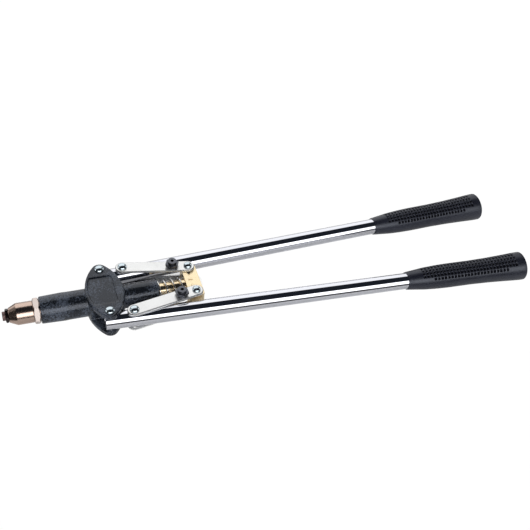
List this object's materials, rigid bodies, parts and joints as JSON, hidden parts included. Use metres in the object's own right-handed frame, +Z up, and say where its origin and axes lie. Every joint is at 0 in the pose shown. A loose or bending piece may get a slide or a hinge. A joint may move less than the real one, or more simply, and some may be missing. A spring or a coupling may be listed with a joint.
{
  "type": "hand riveter",
  "caption": "Long-arm hand riveter: two tube handles with dimpled grips pull a rod through a black cast head with a screwed nosepiece, spare nosepieces on the links.",
  "frame": {"origin": "centre of the nosepiece's front face, at the mouth of the mandrel bore", "axes": "+X back along the barrel towards the grips, +Y towards the far handle, +Z up, square to the plane that the handles swing in"},
  "size_m": [0.5147, 0.1246, 0.0341],
  "materials": {
    "black_casting": "fine textured black",
    "satin_nickel": "satin, warm nickel plate",
    "nickel_nut": "satin, warm nickel plate",
    "black_oxide": "oiled black oxide",
    "yellow_zinc": "satin, pale yellow zinc plate",
    "dark_zinc": "dull zinc plate",
    "gold_rod": "polished, gold zinc plate",
    "spring_steel": "bright drawn wire",
    "bare_steel": "machined",
    "bright_zinc": "bright zinc plate",
    "chrome_tube": "polished chrome plate",
    "grip_plastic": "matte, dimpled soft plastic",
    "matte_zinc": "matte white zinc plate"
  },
  "bodies": {
    "head": {"head_casting": "black_casting", "front_sleeve": "satin_nickel", "lock_nut": "nickel_nut", "nosepiece": "black_oxide", "far_pivot_rivet": "bright_zinc", "near_pivot_rivet": "bright_zinc", "return_spring": "spring_steel"},
    "far_handle": {"far_handle_tube": "chrome_tube", "far_grip": "grip_plastic", "far_pivot_bush": "bare_steel", "far_link_bush": "bare_steel"},
    "near_handle": {"near_handle_tube": "chrome_tube", "near_grip": "grip_plastic", "near_pivot_bush": "bare_steel", "near_link_bush": "bare_steel"},
    "far_links": {"far_upper_link": "matte_zinc", "far_lower_link": "matte_zinc", "far_link_rivet": "bright_zinc", "far_yoke_rivet": "bright_zinc", "far_spare_nosepiece": "black_oxide"},
    "near_links": {"near_upper_link": "matte_zinc", "near_lower_link": "matte_zinc", "near_link_rivet": "bright_zinc", "near_yoke_rivet": "bright_zinc", "near_spare_nosepiece": "black_oxide"},
    "pull": {"yoke": "yellow_zinc", "yoke_set_screw": "dark_zinc", "pull_rod": "gold_rod", "jaw_case": "bare_steel", "jaw_spring": "spring_steel"},
    "jaws": {"jaw_1": "bare_steel", "jaw_2": "bare_steel", "jaw_3": "bare_steel", "jaw_pusher": "bare_steel"}
  },
  "joints": [
    {"name": "far_handle_swing", "type": "hinge", "parent": "head", "child": "far_handle", "pos_m": [0.09, 0.0261, 0], "axis": [0, 0, 1], "range_deg": [0, 50]},
    {"name": "near_handle_swing", "type": "hinge", "parent": "head", "child": "near_handle", "pos_m": [0.09, -0.0261, 0], "axis": [0, 0, -1], "range_deg": [0, 50]},
    {"name": "far_link_swing", "type": "hinge", "parent": "far_handle", "child": "far_links", "pos_m": [0.11157, 0.0272, 0], "axis": [0, 0, -1], "range_deg": [0, 66.5]},
    {"name": "near_link_swing", "type": "hinge", "parent": "near_handle", "child": "near_links", "pos_m": [0.11157, -0.0272, 0], "axis": [0, 0, 1], "range_deg": [0, 66.5]},
    {"name": "yoke_slide", "type": "slide", "parent": "head", "child": "pull", "axis": [-1, 0, 0], "range_m": [0, 0.0125], "stiffness_N_per_m": 200, "springref_m": -0.004, "deforming": ["return_spring"]},
    {"name": "jaw_slide", "type": "slide", "parent": "pull", "child": "jaws", "axis": [1, 0, 0], "range_m": [0, 0.002], "stiffness_N_per_m": 1500, "springref_m": -0.001, "deforming": ["jaw_spring"]}
  ],
  "couplings": [
    {"joint": "near_handle_swing", "follows": "far_handle_swing", "ratio": 1},
    {"joint": "far_link_swing", "follows": "far_handle_swing", "ratio": 1.32},
    {"joint": "near_link_swing", "follows": "far_handle_swing", "ratio": 1.32},
    {"joint": "yoke_slide", "follows": "far_handle_swing", "m_per_rad": 0.01415}
  ]
}
